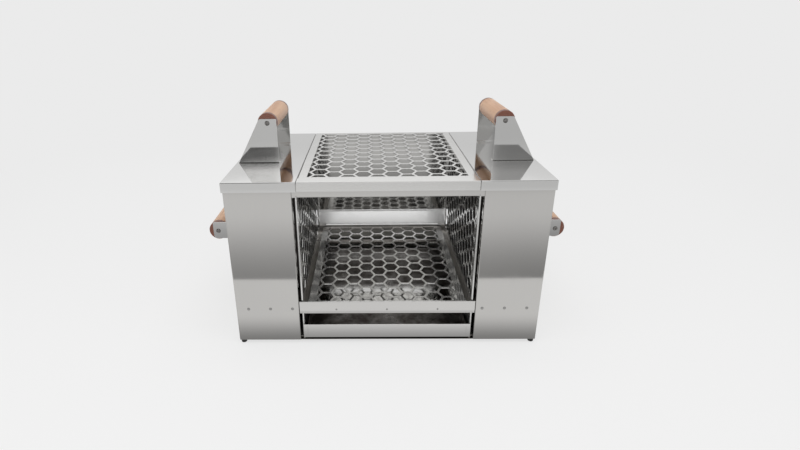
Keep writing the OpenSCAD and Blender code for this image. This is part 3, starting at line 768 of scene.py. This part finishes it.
def notched(corners, flanges):
    """A rectangle's outline in two axes. Each flange is (side, from, to): small
    relief slots beside it let its fold start inside the edge, as in real sheet."""
    (x0, y0), (x1, y1) = corners
    result = []
    for side, start, step in (("low", (x0, y0), (1, 0)), ("right", (x1, y0), (0, 1)),
                              ("high", (x1, y1), (-1, 0)), ("left", (x0, y1), (0, -1))):
        result.append(start)
        inward = (-step[1], step[0])
        axis = 0 if step[0] else 1
        for s, a, b in flanges:
            if s != side:
                continue
            a, b = (a, b) if step[axis] > 0 else (b, a)
            for at, out in ((a, -1), (b, 1)):
                slot = [at + out * NOTCH * step[axis], at]
                deep = [start[1 - axis], start[1 - axis] + RELIEF * inward[1 - axis]]
                path = [(slot[0], deep[0]), (slot[0], deep[1]), (slot[1], deep[1]), (slot[1], deep[0])]
                if out > 0:
                    path.reverse()
                result += [p if axis == 0 else (p[1], p[0]) for p in path]
    return result


def broken(obj, width=0.22, name=None):
    soft_edges(obj, width)
    return plain(obj, name)


print("outline helpers ready")

# %% Top grille
low, high = mm_box("top_grille")
(x0, y0, z0), (x1, y1, z1) = low, high
SKIRT, SKIRT_LOW = 156.0, high[2] - 10.2
grille = folded("grille_sheet", [
    on(2, z1, notched(((x0, y0), (x1, y1)), [("left", -SKIRT, SKIRT), ("right", -SKIRT, SKIRT)])),
    wall(1, y0, (x0, z0), (x1, z1)), wall(1, y1, (x0, z0), (x1, z1)),
    wall(0, x0, (-SKIRT, SKIRT_LOW), (SKIRT, z1)), wall(0, x1, (-SKIRT, SKIRT_LOW), (SKIRT, z1))],
    fold=1.5, edge=None, inside=(0, 0, 200))
grille = punched(grille, "mesh_sheet", (x0 + 14.8, y0 + 28, z1 - 2), (x1 - 14.8, y1 - 12, z1 + 1),
                 first=(9.6, y0 + 41), columns=24.7, rows=32)
piece(broken(grille, name="hexagon_grille"), "top_grille")

# %% Rack
low, high = mm_box("rack")
(x0, y0, z0), (x1, y1, z1) = low, high
RAIL_Y, RAIL_Z = y0 + 10, z1 - 9
rack = folded("rack_blank", [
    on(2, z1, notched(((x0, y0), (x1, y1)), [("left", RAIL_Y, y1 - 1.5), ("right", RAIL_Y, y1 - 1.5)])),
    wall(1, y0, (x0, z0), (x1, z1)),
    wall(0, x0, (RAIL_Y, RAIL_Z), (y1 - 1.5, z1)), wall(0, x1, (RAIL_Y, RAIL_Z), (y1 - 1.5, z1))],
    fold=1.4, edge=None, inside=(0, 0, 0))
rack = punched(rack, "rack_sheet", (x0 + 14, y0 + 3, z1 - 2), (x1 - 14, y1 - 3, z1 + 1),
               first=(12.3, y0 + 32.1), columns=24.3, rows=33.5)
piece(broken(rack, name="hexagon_rack"), "rack")

# %% Bay walls
low, high = mm_box("right_mesh_wall")
(x0, y0, z0), (x1, y1, z1) = low, high
HEM, HEM_L, HEM_TOP, FLANGE_Y = 3.3, 6.5, z1 - 1.5, 167.5
outline = [(y0, z0), (-FLANGE_Y - NOTCH, z0), (-FLANGE_Y - NOTCH, z0 + RELIEF), (-FLANGE_Y, z0 + RELIEF),
           (-FLANGE_Y, z0)]
outline += [(-y, z) for y, z in reversed(outline)]
top = [(y1, HEM_TOP), (FLANGE_Y + NOTCH, HEM_TOP), (FLANGE_Y + NOTCH, z1 - RELIEF - 1.5),
       (FLANGE_Y, z1 - RELIEF - 1.5), (FLANGE_Y, z1)]
outline += top + [(-y, z) for y, z in reversed(top)]
faces = [on(2, 0, outline)]
for y, d in ((y0, 1), (y1, -1)):
    faces.append([(y, z0, 0), (y, HEM_TOP, 0), (y, HEM_TOP, HEM), (y, z0, HEM)])
    faces.append([(y, z0, HEM), (y, HEM_TOP, HEM), (y + d * HEM_L, HEM_TOP, HEM), (y + d * HEM_L, z0, HEM)])
for z in (z0, z1):
    faces.append([(-FLANGE_Y, z, 0), (FLANGE_Y, z, 0), (FLANGE_Y, z, 14), (-FLANGE_Y, z, 14)])
lay = Matrix(((0, 0, 1, x0 * MM), (1, 0, 0, 0), (0, 1, 0, 0), (0, 0, 0, 1)))
for side in ("right", "left"):
    sheet = folded(side + "_wall_sheet", faces, fold=1.2, edge=None, inside=(0, 150, 8))
    sheet = punched(sheet, "mesh_sheet", (y0 + 10, 91, -1), (y1 - 10, z1 - 28, 2.2),
                    first=(0.0, 104.7), columns=24, rows=27.4)
    sheet.data.transform(lay)
    sheet = cut(sheet, ((x0 - 3, 156.7, 44.7), (x0 + 6, 167.3, 55.3)))
    sheet = broken(sheet, name=side + "_hexagon_wall")
    if side == "left":
        sheet.data.transform(Matrix.Scale(-1, 4, (1, 0, 0)))
        sheet.data.flip_normals()
    piece(sheet, side + "_mesh_wall")
print("walls ready")

# %% Beam, rear wall and rear panel
INSET = 148.7


def crossed(name, node, top=None, bottom=None, face="low", fold=1.5, extra=(), metal=None):
    """A sheet across the bay, with narrower flanges at its top and bottom."""
    low, high = mm_box(node)
    (x0, y0, z0), (x1, y1, z1) = low, high
    y, back = (y0, y1) if face == "low" else (y1, y0)
    flanges = [(s, -INSET, INSET) for s, on_it in (("low", bottom), ("high", top)) if on_it]
    faces = [on(1, y, notched(((x0, z0), (x1, z1)), flanges))]
    if top:
        faces.append(wall(2, z1, (-INSET, min(y, top)), (INSET, max(y, top))))
    if bottom:
        faces.append(wall(2, z0, (-INSET, min(y, bottom)), (INSET, max(y, bottom))))
    faces += extra
    sheet = folded(name, faces, fold=fold, inside=(0, y + (50 if face == "low" else -50), (z0 + z1) / 2))
    return piece(sheet, node, metal=metal)


low, high = mm_box("front_beam")
crossed("grille_beam", "front_beam", top=high[1], bottom=low[1] + 10)
low, high = mm_box("rear_wall")
crossed("bay_rear_wall", "rear_wall", top=low[1], bottom=high[1] - 2.4, face="high", fold=1.15,
        extra=[wall(1, high[1] - 2.4, (-INSET, low[2]), (INSET, low[2] + 6))], metal="rear_wall_sheet")
low, high = mm_box("rear_panel")
crossed("lower_rear_panel", "rear_panel", bottom=low[1], face="high", metal="rear_panel_sheet")
print("beam, rear wall and rear panel ready")

# %% Rear bar and rack front
FOLD_H, STRIP_LOW, LEG = 5.5, 92.2, 16


def bar_faces(x0, x1, z0, z1, ys):
    """A folded strip: ys are its places at the low edge, the fold, the top and behind."""
    low, fold, top, back = ys
    return [[(x0, low, z0), (x1, low, z0), (x1, fold, z0 + FOLD_H), (x0, fold, z0 + FOLD_H)],
            [(x0, fold, z0 + FOLD_H), (x1, fold, z0 + FOLD_H), (x1, top, z1), (x0, top, z1)],
            [(x0, top, z1), (x1, top, z1), (x1, back, z1), (x0, back, z1)]]


low, high = mm_box("rear_bar")
y = low[1]
rise = wall(1, y + 5.8, (low[0], high[2]), (high[0], high[2] + 3.7))
leaning = bar_faces(low[0], high[0], STRIP_LOW, high[2], (y, y + 0.9, y + 5.3, y + 5.8))[:2]
strip = folded("rear_bar_strip", leaning, thick=0.8, fold=0.8, inside=(0, y + 40, 80))
rise = folded("rise", [rise], thick=0.6, inside=(0, y + 40, 80))
legs = [folded("leg", [wall(1, y, (a, low[2]), (a + LEG, STRIP_LOW + FOLD_H))], inside=(0, 200, 90))
        for a in (low[0], high[0] - LEG)]
piece(joined("folded_rear_bar", strip, rise, *legs), "rear_bar", metal="rear_bar_sheet")
low, high = mm_box("rack_front")
y = low[1]
upright = bar_faces(low[0], high[0], low[2], high[2], (y + 0.6, y, y, y + T))
piece(folded("folded_rack_front", upright, fold=1.0, inside=(0, 0, 0)), "rack_front")
print("bay sheets ready")

# %% Drip tray
low, high = mm_box("drip_tray")
pan_x, back_y, pan_z = 144.0, high[1], low[2] + 23.5
y0, z0 = low[1], low[2]
pan = folded("tray_pan", [
    wall(2, z0, (-pan_x, y0), (pan_x, back_y)), wall(0, -pan_x, (y0, z0), (back_y, pan_z)),
    wall(0, pan_x, (y0, z0), (back_y, pan_z)), wall(1, back_y, (-pan_x, z0), (pan_x, pan_z))],
    thick=1.0, fold=1.8, inside=(0, 0, 300))
apron = folded("tray_front", [
    [(low[0], y0, z0), (high[0], y0, z0), (high[0], y0 + 0.6, high[2]), (low[0], y0 + 0.6, high[2])],
    wall(2, high[2], (low[0], y0 + 0.6), (high[0], y0 + 2)),
    wall(1, y0 + 2, (low[0], high[2] - 3), (high[0], high[2]))],
    thick=0.6, fold=0.65, inside=(0, y0 + 1, 20))
piece(joined("drip_tray_pan", pan, apron), "drip_tray", metal="tray_sheet")
print("tray ready")

# %% [markdown]
# ## Rivets and screws
# Twelve dome rivets hold the shelves in the housings, three tiny ones hold
# the rack's front, and eight pan-head screws hold the grips. One tree makes
# a fastener that points out of the sheet along its own Z axis, and stands
# it on every given point, turned by the point's own `facing` angle.

# %% The fastener recipe
def fastener(name, cross):
    r = Recipe(name, head_width=0.0055, head_height=0.0011, shank_width=0.0032,
               shank_length=0.0024, tail_width=0.005, tail_height=0.0014)
    width, height = r.input("Head Width"), r.input("Head Height")
    ball = r.add("GeometryNodeMeshUVSphere", inputs={"Segments": 24, "Rings": 16, "Radius": 1.0})
    z = r.split(r.add("GeometryNodeInputPosition"))[2]
    dome = r.add("GeometryNodeDeleteGeometry", {"domain": "FACE"},
                 {"Geometry": ball, "Selection": z.maths("LESS_THAN", 0.001)})
    seat = r.add("GeometryNodeMeshCircle", {"fill_type": "NGON"}, {"Vertices": 24, "Radius": 1.0})
    seat = r.add("GeometryNodeFlipFaces", inputs={"Mesh": seat})
    head = r.add("GeometryNodeMergeByDistance", inputs={
        "Geometry": r.together(dome, seat), "Distance": 0.002})
    head = r.moved(head, Scale=r.vector(width * 0.5, width * 0.5, height))
    if cross:
        bars = [r.add("GeometryNodeMeshCube", inputs={"Size": r.vector(a * width, b * width, height)})
                for a, b in ((0.52, 0.11), (0.11, 0.52))]
        bars = [r.moved(bar, Translation=r.vector(0.0, 0.0, height * 0.95)) for bar in bars]
        head = r.solid(head, *bars)
    length = r.input("Shank Length")
    shank = r.add("GeometryNodeMeshCylinder", inputs={
        "Vertices": 16, "Radius": r.input("Shank Width") * 0.5, "Depth": length})
    shank = r.moved(shank, Translation=r.vector(0.0, 0.0, length * -0.5))
    tail_height = r.input("Tail Height")
    tail = r.add("GeometryNodeMeshCone", inputs={
        "Vertices": 16, "Radius Top": r.input("Tail Width") * 0.5,
        "Radius Bottom": r.input("Shank Width") * 0.5, "Depth": tail_height})
    tail = r.moved(tail, Translation=r.vector(0.0, 0.0, (length + tail_height) * -1.0))
    facing = r.add("GeometryNodeInputNamedAttribute", {"data_type": "FLOAT"}, {"Name": "facing"})
    turn = r.vector(math.pi / 2, 0.0, facing)
    r.done(r.add("GeometryNodeInstanceOnPoints", inputs={
        "Points": r.input("Geometry"), "Instance": r.together(head, shank, tail),
        "Rotation": r.add("FunctionNodeEulerToRotation", inputs={0: turn})}))
    return r


rivet, screw = fastener("dome_rivets", False), fastener("pan_head_screws", True)


def places(name, spots):
    """A mesh of loose points in millimetres: x, y, z and whether it faces the rear."""
    mesh = bpy.data.meshes.new(name)
    mesh.from_pydata([Vector(s[:3]) * MM for s in spots], [], [])
    facing = mesh.attributes.new("facing", "FLOAT", "POINT")
    for value, s in zip(facing.data, spots):
        value.value = math.pi if s[3] else 0.0
    return placed(name, mesh)


HOUSING_FACE, RIVET_X, SCREW_IN, SIDE_SCREW_IN = 177.8, (168.7, 208.1, 247.5), 2.4, 4.5
low, high = mm_box("panel_rivets")
z = (low[2] + high[2]) / 2
spots = [(s * x, t * HOUSING_FACE, z, t > 0) for s in (-1, 1) for x in RIVET_X for t in (-1, 1)]
piece(rivet.run(places("housing_rivets", spots), "rivet_steel"), "panel_rivets")
low, high = mm_box("rack_rivets")
spots = [(x, low[1] + 0.6, (low[2] + high[2]) / 2, False) for x in (-90, 0, 90)]
piece(rivet.run(places("rack_front_rivets", spots), "rivet_steel", head_width=0.0034, head_height=0.0006,
                shank_width=0.002, tail_width=0.0034, tail_height=0.0006), "rack_rivets")
for node in ("left_grip_screws", "right_grip_screws", "side_grip_screws"):
    low, high = mm_box(node)
    inner_y = (low[1] + SCREW_IN, high[1] - SCREW_IN)
    xs = [(low[0] + high[0]) / 2]
    if node == "side_grip_screws":
        xs = [low[0] + SIDE_SCREW_IN, high[0] - SIDE_SCREW_IN]
    spots = [(x, y, (low[2] + high[2]) / 2, y == inner_y[1]) for x in xs for y in inner_y]
    piece(screw.run(places(node.replace("grip_screws", "handgrip_screws"), spots), "screw_steel",
                    head_width=0.0088, head_height=0.0023, shank_width=0.004, shank_length=0.019,
                    tail_width=0.0012, tail_height=0.002), node)
print("fasteners ready")

# %% [markdown]
# ## Heaters
# Each heater is a sheathed tube that is bent like a hairpin. The bend is a
# half circle and the legs are straight, so the tube follows a path: a chain
# of points that a tree turns into a curve and gives a round section.

# %% The tube recipe and the heaters
tube = Recipe("tube_on_a_path", tube_width=0.0085)
path = tube.add("GeometryNodeMeshToCurve", inputs={"Mesh": tube.input("Geometry")})
section = tube.add("GeometryNodeCurvePrimitiveCircle", {"mode": "RADIUS"}, {
    "Resolution": 20, "Radius": tube.input("Tube Width") * 0.5})
tube.done(tube.add("GeometryNodeCurveToMesh", inputs={
    "Curve": path, "Profile Curve": section, "Fill Caps": True}))


def chain(name, paths):
    mesh = bpy.data.meshes.new(name)
    points = [Vector(p) * MM for path in paths for p in path]
    edges, start = [], 0
    for path in paths:
        edges += [(start + i, start + i + 1) for i in range(len(path) - 1)]
        start += len(path)
    mesh.from_pydata(points, edges, [])
    return placed(name, mesh)


BEND, REAR, PIN, TUBE_R, PITCH = 15.0, 160.0, 12.0, 4.25, 60
for side in ("left", "right"):
    low, high = mm_box(side + "_heaters")
    x = (low[0] + high[0]) / 2
    front = low[1] + BEND + TUBE_R
    paths, pins = [], []
    for i in range(3):
        z = low[2] + TUBE_R + i * PITCH
        bend = [(x, front - BEND * math.sin(a), z + BEND + BEND * math.cos(a))
                for a in (math.pi * k / 16 for k in range(17))]
        paths.append([(x, REAR, z + 2 * BEND)] + bend + [(x, REAR, z)])
        pins += [[(x, REAR - 1, z + d), (x, REAR + PIN, z + d)] for d in (0, 2 * BEND)]
    hairpins = tube.run(chain(side + "_hairpin_heaters", paths), "heater_sheath")
    piece(hairpins, side + "_heaters")
    ends = tube.run(chain(side + "_heater_pins", pins), "pin_metal", tube_width=0.003)
    piece(ends, side + "_heaters")
print("heaters ready")

# %% [markdown]
# ## Parts that keep their measured shape
# Shelves, runners, the inlet and the switch already have the right shape in
# the measured model. They only lack the small rounding that every real edge
# has. `eased` merges a copy of the node's mesh, clears the lines across its
# flat faces and bevels its edges.

# %% Eased copies
def eased(node):
    bm = bmesh.new()
    bm.from_mesh(frame["nodes"][node].data)
    bmesh.ops.remove_doubles(bm, verts=bm.verts, dist=1e-6)
    bmesh.ops.dissolve_limit(bm, angle_limit=math.radians(0.6), verts=bm.verts, edges=bm.edges)
    obj = broken(from_bmesh(node + "_eased", bm), 0.3)
    # Parts in the housings and under the rack get the dark chamber steel: painted shade.
    in_shade = any(word in node for word in ("heater", "chamber", "runner", "rail", "conduit", "base"))
    return piece(obj, node, metal="chamber_sheet" if in_shade else None)


for node in ("base_plate", "feet", "left_chamber_floor", "right_chamber_floor", "left_reflector",
             "right_reflector", "left_heater_plate", "right_heater_plate", "left_heater_clip",
             "right_heater_clip", "left_bushings", "right_bushings", "left_rack_runner",
             "right_rack_runner", "left_tray_rail", "right_tray_rail", "cross_conduit",
             "terminal_block", "power_inlet", "inlet_pins", "switch_body", "switch_rocker"):
    eased(node)
print("eased parts ready")

# %% [markdown]
# ## Studio
# Polished steel shows what stands around it, so the studio is made of two
# things: light, and what reflections see. The light is plain: a soft lamp
# above, one on each side and an even fill. Reflections see a sheet under
# the roaster, dark beneath it and pale from a little way out, the dark being
# a painted shadow of the roaster; it ends a hand's breadth away. Beyond it
# is a table that gets lighter further out, and a room that is darker on the
# viewer's side. The camera itself sees only pale paper.

# %% What reflections see of the floor
PALE = (0.83, 0.83, 0.83)


def stage_material(name, build):
    f = Finish(name)
    f.tree.nodes.remove(f.shader)
    output = next(n for n in f.tree.nodes if n.type == "OUTPUT_MATERIAL")
    f.put(output.inputs["Surface"], build(f))
    return f.material


def floor_look(f):
    direct, glossy = f.ray_kinds()
    x, y, z = f.axes()
    away = (abs(x) - 0.272).maths("MAXIMUM", abs(y) - 0.178)
    # For reflections the sheet is dark beneath the roaster and just around its foot: a painted shadow of
    # the roaster.
    sheet = 0.29 + 0.53 * away.rise(0.0, 0.1)
    table = (0.33 + 0.47 * away.rise(0.18, 0.68) - 0.1 * away.rise(0.8, 0.9) - 0.07 * away.rise(1.0, 1.4)
             + 0.42 * away.rise(2.0, 2.9) - 0.05 * x.rise(0.1, 0.4))
    edge = away.rise(0.240, 0.246)
    mirrored = f.add("ShaderNodeEmission", inputs={"Color": sheet * (1 - edge) + table * edge})
    lit = f.add("ShaderNodeBsdfDiffuse", inputs={"Color": (0.8, 0.8, 0.8)})
    near = 1 - away.rise(0.25, 1.2)
    shown = f.add("ShaderNodeEmission", inputs={"Color": f.blend(near, PALE, (0.955, 0.955, 0.955))})
    paper = f.add("ShaderNodeMixShader", inputs={0: direct * (1 - 0.3 * near), 1: lit, 2: shown})
    return f.add("ShaderNodeMixShader", inputs={0: glossy, 1: paper, 2: mirrored})


mesh = bpy.data.meshes.new("floor")
mesh.from_pydata([(-20, -20, 0), (20, -20, 0), (20, 20, 0), (-20, 20, 0)], [], [(0, 1, 2, 3)])
floor = placed("floor", mesh)
mesh.materials.append(stage_material("floor_paper", floor_look))
print("floor ready")

# %% What reflections see of the room
world = bpy.data.worlds.new("surround")
bpy.context.scene.world = world
world.use_nodes = True
room = Graph(world.node_tree)
room.tree.nodes.clear()
direct, glossy = room.ray_kinds()
x, y, z = room.split(room.add("ShaderNodeTexCoord", output="Generated"))
to_right = x.rise(-0.05, 0.05)
window = z.rise(0.2665, 0.2725) * (1 - z.rise(0.305, 0.325)) * (1.02 - 0.76 * to_right)
middle = x.rise(-0.175, -0.160) * (1 - x.rise(0.222, 0.238))
front = (1.0 - (0.85 - 0.4 * middle) * z.rise(0.035, 0.05) + 0.14 * to_right + window
         + 0.4 * z.rise(0.38, 0.42) * (1 - z.rise(0.55, 0.62)))
back = 0.71 + 0.1 * z.rise(0.235, 0.285) + 0.25 * z.rise(0.289, 0.296)
side = (0 - y).rise(-0.15, 0.15)
seen = front * side + back * (1 - side)
fill = room.add("ShaderNodeBackground", inputs={"Color": (1.0, 1.0, 1.0), "Strength": 0.42})
pale = room.add("ShaderNodeBackground", inputs={"Color": PALE, "Strength": 1.0})
mirrored = room.add("ShaderNodeBackground", inputs={"Color": seen, "Strength": 1.0})
plain_room = room.add("ShaderNodeMixShader", inputs={0: direct, 1: fill, 2: pale})
room.put(room.tree.nodes.new("ShaderNodeOutputWorld").inputs[0],
         room.add("ShaderNodeMixShader", inputs={0: glossy, 1: plain_room, 2: mirrored}))
print("room ready")

# %% Lamps
def lamp(name, place, aim, width, height, watts):
    data = bpy.data.lights.new(name, "AREA")
    data.shape, data.size, data.size_y, data.energy = "RECTANGLE", width, height, watts
    obj = placed(name, data)
    obj.location = place
    obj.rotation_euler = (Vector(aim) - Vector(place)).to_track_quat("-Z", "Y").to_euler()
    obj.visible_glossy = False


lamp("top_softbox", (0, -0.3, 2.4), (0, 0, 0.1), 2.2, 1.8, 20)
lamp("front_softbox", (-0.3, -2.4, 0.55), (0, 0, 0.12), 1.0, 0.6, 22)
lamp("left_softbox", (-2.2, -1.0, 1.2), (0, 0, 0.2), 1.2, 1.2, 6)
lamp("right_softbox", (2.2, -1.0, 1.2), (0, 0, 0.2), 1.2, 1.2, 6)
bpy.context.scene.view_settings.view_transform = "Standard"
print("lamps ready")

# %% Measured nodes still shown, and the end
left_over = sorted(n for n in frame["nodes"] if not frame["nodes"][n].hide_render)
print("measured nodes still shown:", left_over)
